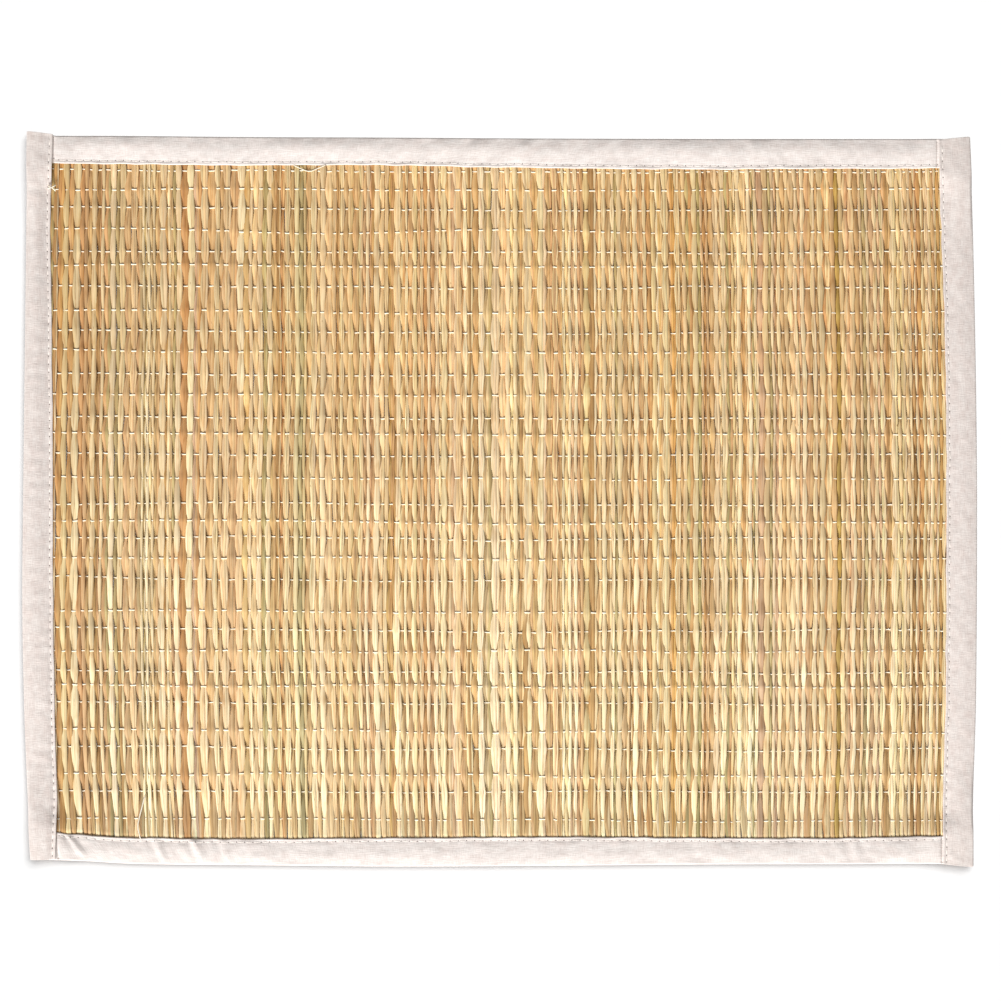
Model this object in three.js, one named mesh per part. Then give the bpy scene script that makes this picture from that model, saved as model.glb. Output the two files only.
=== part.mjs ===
// A woven rush placemat lying flat: rush stalks run along Y, held by warp threads that run along
// X, and a folded cotton tape is sewn over each of the four edges.
// Millimetres, +X right, +Y away from the reader, +Z up. The origin is under the mat's middle, on
// the surface that the mat lies on.
import * as THREE from "three";

const { clamp, lerp } = THREE.MathUtils;

const GAP = 0.3; // clearance between two neighbouring pieces
const TAPE = {
  thickness: 0.8, // two layers of cotton, the edge turned in
  bend: 1.2, // how far the round of the outer fold reaches in
  corner: 0.7, // how much the round of a tape's end cuts off its outer corners
  hollow: 1.8, // from the outer line to where the inside of the tape is flat
  hollowRound: 0.9, // height of the round inside the fold
  seam: 1.5, // stitches, from the inner edge
  seamDip: 0.15,
  crown: 0.12, // how much the cloth stands up between the fold and the stitches
  crownAt: 0.55, // its place as a share of the width
};
// The outer fold's shoulders, as shares of the bend's reach and of the tape's height, and how much
// of a pucker's rise is left at the bend and at the stitches.
const SHOULDER = { reach: 0.3, height: 0.25 };
const PUCKER_SHARE = { bend: 0.5, seam: 0.6 };
const LAYER = TAPE.thickness + GAP; // height that one layer of tape takes up
const PANEL = {
  thickness: 3.0, // crest to crest where the weave lies free
  squeezed: 2.2, // crest to crest inside a tape
  inset: 2.0, // from a tape's outer line to the weave's cut edge
  relief: 0.9, // from a stalk's crest down to where a thread pinches it
  heldRelief: 0.5, // the same inside a tape
  crestSpread: 0.25, // how unevenly high the crests are
};
const HELD = {
  margin: 1.0, // past a tape's inner edge, where the weave is still pressed flat
  slope: 12.0, // beyond that, until the weave lies on the surface
};
const STALKS = {
  bundles: 210, // over and under in turn
  narrowest: 0.55, // spacing of two bundles as a share of the mean
  spread: 1.35,
  seed: 20,
};
const STEPS = {
  alongStalks: 14, // weave sections between the slopes, about one for two warp threads
  acrossStalks: 24, // sections of the long tapes between the slopes
};

// Lines of the four tapes. `at` runs along the tape, and `outer` and `inner` are the places of its
// folded edge and its sewn edge across it. `lean` is how far the cloth's puckers slant along it.
const TOP_LINES = [
  { at: -222, outer: 171.2, inner: 158.5, lean: 0 },
  { at: -189, outer: 171.5, inner: 158.1, lean: 0 },
  { at: -118, outer: 170.9, inner: 157.4, lean: 2 },
  { at: -61, outer: 170.7, inner: 157.5, lean: 3 },
  { at: 0, outer: 170.3, inner: 156.5, lean: 5 },
  { at: 94, outer: 170.0, inner: 155.3, lean: 2 },
  { at: 142, outer: 170.0, inner: 155.8, lean: 0 },
  { at: 206, outer: 169.9, inner: 155.6, lean: 0 },
  { at: 222, outer: 169.5, inner: 155.6, lean: 0 },
];
const BOTTOM_LINES = [
  { at: -222, outer: -170.2, inner: -157.0, lean: 0 },
  { at: -209, outer: -170.2, inner: -157.0, lean: -7 },
  { at: -186, outer: -171.8, inner: -159.0, lean: -7 },
  { at: -165, outer: -172.4, inner: -159.8, lean: -5 },
  { at: -118, outer: -172.8, inner: -160.3, lean: -4 },
  { at: -47, outer: -173.4, inner: -159.9, lean: 0 },
  { at: 28, outer: -173.0, inner: -159.4, lean: 2 },
  { at: 104, outer: -172.4, inner: -159.9, lean: 0 },
  { at: 160, outer: -172.3, inner: -160.0, lean: -2 },
  { at: 208, outer: -172.1, inner: -158.8, lean: 0 },
  { at: 222, outer: -172.1, inner: -158.8, lean: 0 },
];
const LEFT_LINES = [
  { at: -171, outer: -221.3, inner: -209.2, lean: 0 },
  { at: -142, outer: -222.8, inner: -209.2, lean: 0 },
  { at: -95, outer: -224.6, inner: -210.4, lean: 0 },
  { at: -48, outer: -225.4, inner: -211.1, lean: 0 },
  { at: 0, outer: -225.0, inner: -211.2, lean: 0 },
  { at: 94, outer: -223.9, inner: -211.9, lean: 0 },
  { at: 141, outer: -223.4, inner: -212.1, lean: 0 },
  { at: 174, outer: -223.0, inner: -210.8, lean: 0 },
];
const RIGHT_LINES = [
  { at: -173, outer: 223.3, inner: 209.0, lean: 0 },
  { at: -142, outer: 223.4, inner: 209.4, lean: 0 },
  { at: -95, outer: 224.8, inner: 210.6, lean: 0 },
  { at: 0, outer: 225.3, inner: 210.9, lean: 0 },
  { at: 47, outer: 224.9, inner: 210.6, lean: 0 },
  { at: 94, outer: 224.1, inner: 209.6, lean: 0 },
  { at: 141, outer: 222.9, inner: 207.8, lean: 0 },
  { at: 170, outer: 221.7, inner: 206.7, lean: 0 },
];

// Where the side tapes end, at their outer and inner lines.
const LEFT_ENDS = { lowOuter: -170.0, lowInner: -169.7, highOuter: 173.4, highInner: 171.9 };
const RIGHT_ENDS = { lowOuter: -173.3, lowInner: -172.0, highOuter: 170.7, highInner: 169.3 };

// Puckers that cross the long tapes: a soft ridge `rise` high and twice `reach` wide.
const TOP_PUCKERS = [
  { at: -133, rise: 0.3, reach: 3.5 },
  { at: -13, rise: 0.45, reach: 4 },
  { at: 11, rise: 0.4, reach: 4 },
  { at: 120, rise: 0.3, reach: 4 },
];
const BOTTOM_PUCKERS = [
  { at: -199, rise: 0.6, reach: 3 },
  { at: -160, rise: 0.6, reach: 3 },
  { at: -142, rise: 0.5, reach: 3 },
  { at: -129, rise: 0.4, reach: 3 },
  { at: 56, rise: 0.3, reach: 4 },
  { at: 168, rise: 0.35, reach: 3.5 },
];

// A repeatable dice from 0 to 1: the minimal standard generator.
function dice(seed) {
  const modulus = 2147483647;
  const multiplier = 48271;
  let state = seed;
  return () => {
    state = (state * multiplier) % modulus;
    return state / modulus;
  };
}

// A smooth line through the rows of a table.
function lineAt(rows, column, at) {
  const last = rows.length - 1;
  const place = clamp(at, rows[0].at, rows[last].at);
  const i = clamp(rows.findIndex((row) => row.at >= place) - 1, 0, last - 1);
  const span = rows[i + 1].at - rows[i].at;
  const slope = (j) => {
    const [before, after] = [rows[Math.max(j - 1, 0)], rows[Math.min(j + 1, last)]];
    return (after[column] - before[column]) / (after.at - before.at);
  };
  const t = (place - rows[i].at) / span;
  const ease = t * t * (3 - 2 * t);
  const bow = span * t * (1 - t) * ((1 - t) * slope(i) - t * slope(i + 1));
  return lerp(rows[i][column], rows[i + 1][column], ease) + bow;
}

// How far a tape holds the weave up at a depth past its inner edge: 1 inside it, 0 in the field.
function held(depth) {
  return clamp(1 - (depth - HELD.margin) / HELD.slope, 0, 1);
}

function heldByLongTapes(x, y) {
  const [top, bottom] = [lineAt(TOP_LINES, "inner", x), lineAt(BOTTOM_LINES, "inner", x)];
  return Math.max(held(top - y), held(y - bottom));
}

function heldBySideTapes(x, y) {
  const [left, right] = [lineAt(LEFT_LINES, "inner", y), lineAt(RIGHT_LINES, "inner", y)];
  return Math.max(held(x - left), held(right - x));
}

// Places from one cut edge to the other: both edges, the held margins and slopes, and even steps.
function placesAcross(low, high, steps) {
  const [first, last] = [low.inner + HELD.margin, high.inner - HELD.margin];
  const [from, to] = [first + HELD.slope, last - HELD.slope];
  const field = Array.from({ length: steps + 1 }, (_, i) => lerp(from, to, i / steps));
  return [low.outer + PANEL.inset, first, ...field, last, high.outer - PANEL.inset];
}

function linesAt(rows, at) {
  return { outer: lineAt(rows, "outer", at), inner: lineAt(rows, "inner", at) };
}

function placesAlongY(x, steps) {
  return placesAcross(linesAt(BOTTOM_LINES, x), linesAt(TOP_LINES, x), steps);
}

function placesAlongX(y, steps) {
  return placesAcross(linesAt(LEFT_LINES, y), linesAt(RIGHT_LINES, y), steps);
}

// The bundles' places across the weave as shares of its width, unevenly spaced.
function bundleShares() {
  const next = dice(STALKS.seed);
  const spacings = Array.from(
    { length: STALKS.bundles - 1 },
    () => STALKS.narrowest + STALKS.spread * next() ** 2,
  );
  const total = spacings.reduce((sum, spacing) => sum + spacing, 0);
  let reached = 0;
  return [0, ...spacings.map((spacing) => (reached += spacing) / total)];
}

// A closed mesh from its points and faces, turned so that its faces point out.
function solid(points, faces) {
  const volume = faces.reduce((sum, [a, b, c]) => {
    return sum + points[a].dot(new THREE.Vector3().crossVectors(points[b], points[c]));
  }, 0);
  const turned = volume < 0 ? faces.map(([a, b, c]) => [a, c, b]) : faces;
  const geometry = new THREE.BufferGeometry().setFromPoints(points);
  geometry.setIndex(turned.flat());
  geometry.computeVertexNormals();
  return geometry;
}

// Faces that join two chains of points, which run the same way with any number of points each.
function bridge(points, near, far, key) {
  const faces = [];
  let [i, j] = [0, 0];
  while (i < near.length - 1 || j < far.length - 1) {
    const nearNext = i < near.length - 1 ? points[near[i + 1]][key] : Infinity;
    const farNext = j < far.length - 1 ? points[far[j + 1]][key] : Infinity;
    if (nearNext <= farNext) {
      faces.push([near[i], near[i + 1], far[j]]);
      i += 1;
    } else {
      faces.push([near[i], far[j + 1], far[j]]);
      j += 1;
    }
  }
  return faces;
}

// Faces over a grid of points, creased between its low points so that each high one is a bulge.
function quilt(grid, isHigh) {
  const faces = [];
  for (let i = 0; i < grid.length - 1; i += 1) {
    for (let k = 0; k < grid[i].length - 1; k += 1) {
      const [a, b] = [grid[i][k], grid[i + 1][k]];
      const [c, d] = [grid[i + 1][k + 1], grid[i][k + 1]];
      faces.push(...(isHigh(i, k) ? [[a, b, d], [b, c, d]] : [[a, b, c], [a, c, d]]));
    }
  }
  return faces;
}

// One face of the weave: a point for each bundle at each section, high and low in turn.
function weaveFace(points, steps, heightAt) {
  const nominalPlaces = placesAlongY(0, steps);
  return bundleShares().map((share, i) => {
    return nominalPlaces.map((nominalY, k) => {
      const left = lineAt(LEFT_LINES, "outer", nominalY) + PANEL.inset;
      const right = lineAt(RIGHT_LINES, "outer", nominalY) - PANEL.inset;
      const x = lerp(left, right, share);
      const y = placesAlongY(x, steps)[k];
      points.push(new THREE.Vector3(x, y, heightAt(x, y, i, k)));
      return points.length - 1;
    });
  });
}

function wovenPanel() {
  const points = [];
  const next = dice(STALKS.seed + 1);
  const crestDrops = bundleShares().map(() => PANEL.crestSpread * next());
  const underside = (x, y) => LAYER * (heldByLongTapes(x, y) + heldBySideTapes(x, y));
  const pressed = (x, y) => Math.max(heldByLongTapes(x, y), heldBySideTapes(x, y));
  const relief = (x, y) => lerp(PANEL.relief, PANEL.heldRelief, pressed(x, y));
  const isHigh = (i, k) => (i + k) % 2 === 0;
  const topHeight = (x, y, i, k) => {
    const thickness = lerp(PANEL.thickness, PANEL.squeezed, pressed(x, y));
    const low = isHigh(i, k) ? crestDrops[i] : relief(x, y);
    return underside(x, y) + thickness - low;
  };
  const underHeight = (x, y, i) => underside(x, y) + (i % 2 === 0 ? 0 : PANEL.heldRelief);

  const top = weaveFace(points, STEPS.alongStalks, topHeight);
  const under = weaveFace(points, 1, underHeight);
  const faces = quilt(top, isHigh);
  faces.push(...quilt(under, () => true).map(([a, b, c]) => [a, c, b]));
  const rim = (column) => [column(top), column(under)];
  const firstBundle = rim((grid) => grid[0]);
  const lastBundle = rim((grid) => grid.at(-1));
  const lowEnds = rim((grid) => grid.map((bundle) => bundle[0]));
  const highEnds = rim((grid) => grid.map((bundle) => bundle.at(-1)));
  faces.push(...bridge(points, ...firstBundle, "y"));
  faces.push(...bridge(points, ...lastBundle.reverse(), "y"));
  faces.push(...bridge(points, ...lowEnds.reverse(), "x"));
  faces.push(...bridge(points, ...highEnds, "x"));
  return solid(points, faces);
}

// The tape's cut across: `u` runs in from the outer line, and `z` up. The lower leg lies at `base`,
// and the upper leg lies over what it holds, at `ceiling`.
function tapeSection(width, base, ceiling, rise) {
  const { thickness, bend, hollow, hollowRound, seam, seamDip, crown, crownAt } = TAPE;
  const [floor, top] = [base + thickness, ceiling + thickness];
  const shoulderIn = SHOULDER.reach * bend;
  const shoulderUp = SHOULDER.height * (top - base);
  return [
    [width, base],
    [bend, base],
    [shoulderIn, base + shoulderUp],
    [0, (base + top) / 2],
    [shoulderIn, top - shoulderUp],
    [bend, top + PUCKER_SHARE.bend * rise],
    [width * crownAt, top + crown + rise],
    [width - seam, top - seamDip + PUCKER_SHARE.seam * rise],
    [width, top],
    [width, ceiling],
    [hollow, ceiling],
    [thickness, ceiling - hollowRound],
    [thickness, floor + hollowRound],
    [hollow, floor],
    [width, floor],
  ];
}

// Skin over the sections of a tape, with both ends closed.
function loft(sections) {
  const count = sections[0].length;
  const points = sections.flatMap((section) => section.map(({ point }) => point));
  const faces = [];
  for (let s = 0; s < sections.length - 1; s += 1) {
    for (let p = 0; p < count; p += 1) {
      const [a, b] = [s * count + p, s * count + ((p + 1) % count)];
      faces.push([a, b, b + count], [a, b + count, a + count]);
    }
  }
  const outline = sections[0].map(({ u, z }) => new THREE.Vector2(u, z));
  const farEnd = (sections.length - 1) * count;
  for (const [a, b, c] of THREE.ShapeUtils.triangulateShape(outline, [])) {
    faces.push([a, b, c], [a + farEnd, c + farEnd, b + farEnd]);
  }
  return solid(points, faces);
}

function puckerRise(puckers, at) {
  return puckers.reduce((sum, { at: centre, rise, reach }) => {
    return sum + rise * clamp(1 - Math.abs(at - centre) / reach, 0, 1);
  }, 0);
}

// Stations of a long tape: the even ones, with three for each pucker in place of the ones near it.
function puckeredPlaces(places, puckers) {
  const clear = (place) => puckers.every(({ at, reach }) => Math.abs(place - at) > 2 * reach);
  const ridges = puckers.flatMap(({ at, reach }) => [at - reach, at, at + reach]);
  return [...places.filter(clear), ...ridges].sort((a, b) => a - b);
}

// A tape over the top or bottom edge. `inward` is -1 on the top edge and 1 on the bottom one.
function longTape(lines, puckers, inward) {
  const middle = lineAt(lines, "outer", 0);
  const places = puckeredPlaces(placesAlongX(middle, STEPS.acrossStalks), puckers);
  return loft(places.map((x) => {
    const { outer, inner } = linesAt(lines, x);
    const width = Math.abs(inner - outer);
    const base = LAYER * heldBySideTapes(x, (outer + inner) / 2);
    const ceiling = base + LAYER + PANEL.squeezed + GAP;
    const lean = lineAt(lines, "lean", x);
    return tapeSection(width, base, ceiling, puckerRise(puckers, x)).map(([u, z]) => {
      const slant = lean * (u / width - 0.5);
      return { u, z, point: new THREE.Vector3(x + inward * slant, outer + inward * u, z) };
    });
  }));
}

// A tape over the left or right edge. `inward` is 1 on the left edge and -1 on the right one.
function sideTape(lines, ends, inward) {
  const middle = (lineAt(lines, "outer", 0) + lineAt(lines, "inner", 0)) / 2;
  const places = placesAlongY(middle, STEPS.alongStalks);
  const last = places.length - 1;
  const endAt = (low, share, u) => {
    const [outer, inner] = low ? [ends.lowOuter, ends.lowInner] : [ends.highOuter, ends.highInner];
    const rounded = u < TAPE.bend ? TAPE.corner * (1 - u / TAPE.bend) : 0;
    return lerp(outer, inner, share) + (low ? rounded : -rounded);
  };
  return loft(places.map((place, k) => {
    const { outer, inner } = linesAt(lines, place);
    const width = Math.abs(inner - outer);
    const holdsTapes = heldByLongTapes(middle, place);
    const ceiling = LAYER * (1 + 2 * holdsTapes) + PANEL.squeezed + GAP;
    return tapeSection(width, 0, ceiling, 0).map(([u, z]) => {
      const y = k === 0 || k === last ? endAt(k === 0, u / width, u) : place;
      return { u, z, point: new THREE.Vector3(outer + inward * u, y, z) };
    });
  }));
}

function named(name, geometry, material) {
  const mesh = new THREE.Mesh(geometry, material);
  mesh.name = name;
  return mesh;
}

const rush = new THREE.MeshStandardMaterial({ color: 0xdcb97e, roughness: 0.7, metalness: 0 });
const cotton = new THREE.MeshStandardMaterial({ color: 0xebe3de, roughness: 0.95, metalness: 0 });

const mat = new THREE.Group();
mat.add(
  named("woven_panel", wovenPanel(), rush),
  named("binding_top", longTape(TOP_LINES, TOP_PUCKERS, -1), cotton),
  named("binding_bottom", longTape(BOTTOM_LINES, BOTTOM_PUCKERS, 1), cotton),
  named("binding_left", sideTape(LEFT_LINES, LEFT_ENDS, 1), cotton),
  named("binding_right", sideTape(RIGHT_LINES, RIGHT_ENDS, -1), cotton),
);
const centre = new THREE.Box3().setFromObject(mat).getCenter(new THREE.Vector3());
mat.position.set(-centre.x, -centre.y, 0);

export default mat;
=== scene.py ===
# A woven rush placemat with cotton-bound edges, lying flat on a white floor, seen from above.
# Lengths are in millimetres until they become mesh points, which are in metres.
import math

import bpy
import numpy as np
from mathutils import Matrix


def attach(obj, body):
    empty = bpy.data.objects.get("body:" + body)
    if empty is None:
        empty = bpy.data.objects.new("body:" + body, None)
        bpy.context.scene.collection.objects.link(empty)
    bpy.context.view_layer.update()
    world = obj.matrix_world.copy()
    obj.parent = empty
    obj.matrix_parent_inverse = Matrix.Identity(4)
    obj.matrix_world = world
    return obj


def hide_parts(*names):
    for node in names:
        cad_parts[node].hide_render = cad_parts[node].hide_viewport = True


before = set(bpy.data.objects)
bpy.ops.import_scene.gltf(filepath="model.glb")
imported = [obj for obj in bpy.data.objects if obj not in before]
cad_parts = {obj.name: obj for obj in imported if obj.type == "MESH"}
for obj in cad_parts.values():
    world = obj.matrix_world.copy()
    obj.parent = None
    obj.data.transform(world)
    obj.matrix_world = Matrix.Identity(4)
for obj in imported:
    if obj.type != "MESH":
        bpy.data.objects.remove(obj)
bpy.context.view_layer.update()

MM = 0.001
GAP = 0.3  # between two layers
# A tape: its cotton's thickness, how far its fold bows, its ends' round corners, the hollow
# between its legs, how far its seam lies in from its sewn edge, and the shoulder by its fold.
TAPE = {
    "thickness": 0.8, "bend": 0.9, "corner": 0.7, "hollow": 1.8, "hollow_round": 0.9,
    "seam": 1.5, "shoulder": 4.5, "shoulder_drop": 0.16,
}
TAPE_STEP = 1.3  # between two sections of a tape
# How far the middle of each tape's upper leg bulges up.
CROWNS = {"tape_top": 0.26, "tape_bottom": 0.1, "tape_left": 0.2, "tape_right": 0.08}
# How uneven the upper leg of a long tape and of a side tape is, and the cloth's fine waves.
UNEVEN = {"long": 0.15, "side": 0.06, "fine": 0.06}
# The crease that a side tape's sewn edge presses into a long tape.
CREASE = {"beside": 0.4, "width": 0.4, "depth": 0.5}
BRIDGE = 36.0  # how far a side tape's rise to a long tape reaches
LAYER = TAPE["thickness"] + GAP
# The woven panel: in the open, pressed by a tape, and how far inside the outer lines it ends.
PANEL = {"thickness": 3.0, "squeezed": 2.2, "inset": 2.0}
# How far beyond a tape's inner line the weave is still held in full, and the slope after that.
HELD = {"margin": 1.0, "slope": 12.0}
# The bundles' spacing, drawn from its own seed, and how far they wander to their sides.
BUNDLES = {"count": 210, "narrowest": 0.55, "spread": 1.35, "seed": 20, "wander": 0.22}
# The lockstitches and their needle holes: the first one's place on a tape, and how much of the
# tape's length is spare.
STITCH = {"length": 3.8, "radius": 0.17, "hole": 0.24, "first": 1.8, "spare": 3.0}
HALF_WIDTH, HALF_LENGTH = 225, 175  # the mat's, rounded, for what changes slowly over it
SEEDS = {"wander": 5, "rush": 11, "threads": 12, "sways": 300}

# The photo's frame: how wide a pixel is on the mat, and where the picture's middle lies on it.
PHOTO = {"pixels": 1001, "mm_per_pixel": 0.472, "middle_x": 0.35, "middle_y": -0.66}


def table(columns, rows):
    """A dict of arrays, one for each named column."""
    return dict(zip(columns.split(), np.array(rows, float).T, strict=True))


# A tape's outer line and its sewn inner line, how far a long tape's creases lean, how much lower
# its sewn edge lies than the flat solid's, and how deep its seam dips.
TOP_LINES = table(
    "at outer inner lean drop dip",
    [
        (-222, 171.2, 158.5, 0, 0.45, 0.2),
        (-189, 171.5, 158.2, 0, 0.3, 0.2),
        (-118, 170.9, 157.6, 2, 0.45, 0.2),
        (-61, 170.7, 157.7, 3, 0.45, 0.2),
        (0, 170.3, 156.6, 5, 0.45, 0.2),
        (94, 170.0, 155.6, 2, 0.45, 0.2),
        (142, 170.0, 155.8, 0, 0.45, 0.2),
        (206, 169.9, 155.9, 0, 0.45, 0.2),
        (222, 169.5, 155.7, 0, 0.45, 0.2),
    ],
)
BOTTOM_LINES = table(
    "at outer inner lean drop dip",
    [
        (-222, -170.2, -157.0, 0, 0.28, 0.2),
        (-211, -170.2, -157.0, 0, 0.28, 0.2),
        (-199, -170.9, -157.8, -10, 0.28, 0.2),
        (-183, -171.9, -159.2, -9, 0.28, 0.2),
        (-163, -172.4, -159.8, -6, 0.28, 0.2),
        (-118, -172.8, -160.3, -4, 0.28, 0.2),
        (-47, -173.4, -159.9, 0, 0.3, 0.2),
        (28, -173.0, -159.4, 2, 0.3, 0.2),
        (104, -172.4, -159.9, 0, 0.28, 0.2),
        (160, -172.3, -160.0, -2, 0.28, 0.2),
        (208, -172.1, -158.8, 0, 0.28, 0.2),
        (222, -172.1, -158.8, 0, 0.28, 0.2),
    ],
)
LEFT_LINES = table(
    "at outer inner drop dip",
    [
        (-171, -221.3, -209.0, 0.0, 0.65),
        (-142, -222.8, -208.9, 0.0, 0.65),
        (-95, -224.6, -210.1, 0.25, 0.6),
        (-48, -225.4, -210.7, 0.7, 0.3),
        (0, -225.0, -210.8, 0.85, 0.2),
        (94, -223.9, -211.6, 1.0, 0.2),
        (141, -223.4, -211.9, 1.1, 0.2),
        (158, -223.2, -211.0, 1.1, 0.2),
        (174, -223.0, -210.6, 1.1, 0.2),
    ],
)
RIGHT_LINES = table(
    "at outer inner drop dip",
    [
        (-173, 223.3, 208.9, 0.6, 0.35),
        (-142, 223.4, 209.1, 0.6, 0.35),
        (-95, 224.8, 210.4, 0.5, 0.25),
        (0, 225.3, 210.8, 0.5, 0.2),
        (47, 224.9, 210.6, 0.5, 0.2),
        (94, 224.1, 209.6, 0.55, 0.2),
        (141, 222.9, 207.7, 0.6, 0.2),
        (170, 221.7, 206.6, 0.65, 0.2),
    ],
)
# Where the side tapes end, at their outer and inner lines.
LEFT_ENDS = {"low": (-170.0, -169.7), "high": (173.4, 171.9)}
RIGHT_ENDS = {"low": (-173.3, -172.0), "high": (170.7, 169.3)}

# Where the long tapes pucker, how high and how far along.
TOP_PUCKERS = table(
    "at rise reach",
    [
        (-196, 0.12, 1.6), (-162, 0.14, 1.6), (-133, 0.3, 3.5),
        (-13, 0.45, 4), (11, 0.4, 4), (120, 0.3, 4),
    ],
)
BOTTOM_PUCKERS = table(
    "at rise reach",
    [
        (-199, 0.6, 3), (-160, 0.6, 3), (-142, 0.5, 3),
        (-129, 0.4, 3), (56, 0.3, 4), (168, 0.35, 3.5),
    ],
)
NO_PUCKERS = table("at rise reach", [(0, 0, 1)])

# The warp threads from the top down: the first one's place and the gaps to the next ones.
FIRST_THREAD = 154.4
THREAD_GAPS = (
    8.5, 9.4, 10.4, 9.9, 6.6, 9.9, 11.8, 9.4, 9.4, 10.9, 9.4, 10.9, 7.6, 9.9, 10.9, 12.3,
    8.5, 7.6, 9.4, 9.9, 15.6, 8.5, 9.9, 9.9, 6.6, 8.0, 13.2, 8.5, 12.3, 8.0, 13.2,
)
THREAD_Y = FIRST_THREAD - np.concatenate([[0], np.cumsum(THREAD_GAPS)])

# Colours as they look, from 0 to 255.
STALK_COLOURS = {
    "pale": (250, 232, 188),
    "cream": (243, 221, 174),
    "straw": (236, 208, 156),
    "tan": (214, 178, 127),
    "honey": (206, 164, 108),
    "olive": (192, 174, 122),
    "rose": (212, 177, 140),
    "brown": (187, 150, 98),
    "ochre": (186, 156, 86),
    "orange": (211, 166, 100),
}
# How often each colour comes up in the two families of bundles.
FAMILY_COLOURS = (
    {"pale": 1, "cream": 17, "straw": 8, "tan": 1},
    {"cream": 1, "straw": 6, "tan": 14, "honey": 4, "olive": 5, "rose": 3},
)
# The stalks' tint at the far end and at the near end: their own tint and painted light, paler
# towards the near lamp. And how much lighter there the paler family is and how much darker the
# other one: a painted contrast of light and shade, which grows towards the near lamp.
TINTS_AND_PAINTED_LIGHT_ALONG = ((0.974, 0.95, 0.943), (0.998, 1.022, 1.085))
PAINTED_CONTRAST_ALONG = (-0.035, 0.045)
# How light the weave is in its middle, and how much of that goes towards its sides, as painted
# light that falls off there, and towards its far left.
LIGHTNESS = {"middle": 1.01, "sides": -0.035, "far_left": -0.03}
TINT_SPREAD = (5, 2)  # how far single stalks vary in lightness and in hue
BRIGHTEST = 262  # the most that a stalk's tinted colour may be: a little past white
# Stalks that stand out: their place across the mat, how far to its sides, from where to where
# along them, and their colour.
ODD_STALKS = (
    (-210.4, 0.8, -160, 160, "honey"),
    (-189.9, 0.6, -160, 160, "brown"),
    (-178.5, 0.5, -160, -53, "brown"),
    (-166.5, 0.9, -160, 160, "pale"),
    (-153.3, 1.2, -20, 160, "olive"),
    (-146.5, 0.9, -160, -53, "pale"),
    (-122.8, 0.9, 51, 160, "pale"),
    (-104.9, 0.6, -53, 160, "brown"),
    (-76.6, 0.6, 51, 160, "brown"),
    (-60.1, 0.6, 51, 160, "brown"),
    (-49.7, 0.6, -53, 51, "brown"),
    (-16.6, 0.6, -53, 160, "pale"),
    (-14.3, 0.6, -160, 160, "brown"),
    (12.6, 0.6, -160, -53, "brown"),
    (43.3, 0.6, -160, 160, "brown"),
    (45.2, 0.9, -20, 160, "pale"),
    (61.7, 0.6, -160, 51, "brown"),
    (74.4, 0.9, -160, 160, "pale"),
    (81.9, 0.8, -160, 160, "orange"),
    (97.1, 0.6, -53, 51, "honey"),
    (115.0, 0.6, -80, 104, "honey"),
    (118.8, 0.9, -160, -53, "pale"),
    (131.1, 0.6, 51, 160, "brown"),
    (159.8, 1.0, -160, 160, "ochre"),
    (167.4, 0.9, -160, 51, "pale"),
    (183.0, 0.6, -160, 160, "brown"),
    (194.8, 0.6, -160, 51, "brown"),
)


def ease(t):
    """A smooth step from 0 to 1."""
    t = np.clip(t, 0, 1)
    return t * t * (3 - 2 * t)


def mix(a, b, share):
    return a + (b - a) * share


def line_at(lines, column, at):
    """The smooth line through a table's rows, at one place or many."""
    places, values = lines["at"], lines[column]
    at = np.clip(at, places[0], places[-1])
    i = np.clip(np.searchsorted(places, at) - 1, 0, len(places) - 2)
    before = np.maximum(np.arange(len(places)) - 1, 0)
    after = np.minimum(np.arange(len(places)) + 1, len(places) - 1)
    slopes = (values[after] - values[before]) / (places[after] - places[before])
    span = places[i + 1] - places[i]
    t = (at - places[i]) / span
    bow = span * t * (1 - t) * ((1 - t) * slopes[i] - t * slopes[i + 1])
    return mix(values[i], values[i + 1], ease(t)) + bow


def held(depth, slope=HELD["slope"]):
    """How far a tape holds the weave up: 1 inside it, 0 in the open field."""
    return 1 - ease((depth - HELD["margin"]) / slope)


def held_by_long_tapes(x, y):
    top, bottom = line_at(TOP_LINES, "inner", x), line_at(BOTTOM_LINES, "inner", x)
    return np.maximum(held(top - y), held(y - bottom))


def held_by_side_tapes(x, y):
    left, right = line_at(LEFT_LINES, "inner", y), line_at(RIGHT_LINES, "inner", y)
    return np.maximum(held(x - left), held(right - x))


def weave_base(x, y):
    """Height of the weave's underside."""
    return LAYER * (held_by_long_tapes(x, y) + held_by_side_tapes(x, y))


def weave_thickness(x, y):
    pressed = np.maximum(held_by_long_tapes(x, y), held_by_side_tapes(x, y))
    return mix(PANEL["thickness"], PANEL["squeezed"], pressed)


def soft_noise(seed, shortest, longest, count=9):
    """A smooth random function of two places, about -1 to 1, with waves of these lengths."""
    random = np.random.default_rng(seed)
    lengths = shortest * (longest / shortest) ** random.random(count)
    angles = random.random(count) * math.tau
    phases = random.random(count) * math.tau
    turns_x = np.cos(angles) / lengths * math.tau
    turns_y = np.sin(angles) / lengths * math.tau

    def noise(x, y):
        x, y = np.broadcast_arrays(np.asarray(x, float), np.asarray(y, float))
        waves = np.sin(x[..., None] * turns_x + y[..., None] * turns_y + phases)
        return waves.sum(-1) * 1.4 / math.sqrt(count)

    return noise


# Materials


def linear(colour):
    """A colour as it looks, from 0 to 255, as the light that Blender reckons in."""
    shares = np.array(colour, float) / 255
    return np.where(shares <= 0.04045, shares / 12.92, ((shares + 0.055) / 1.055) ** 2.4)


def rgba(colour):
    return (*linear(colour), 1.0)


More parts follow.
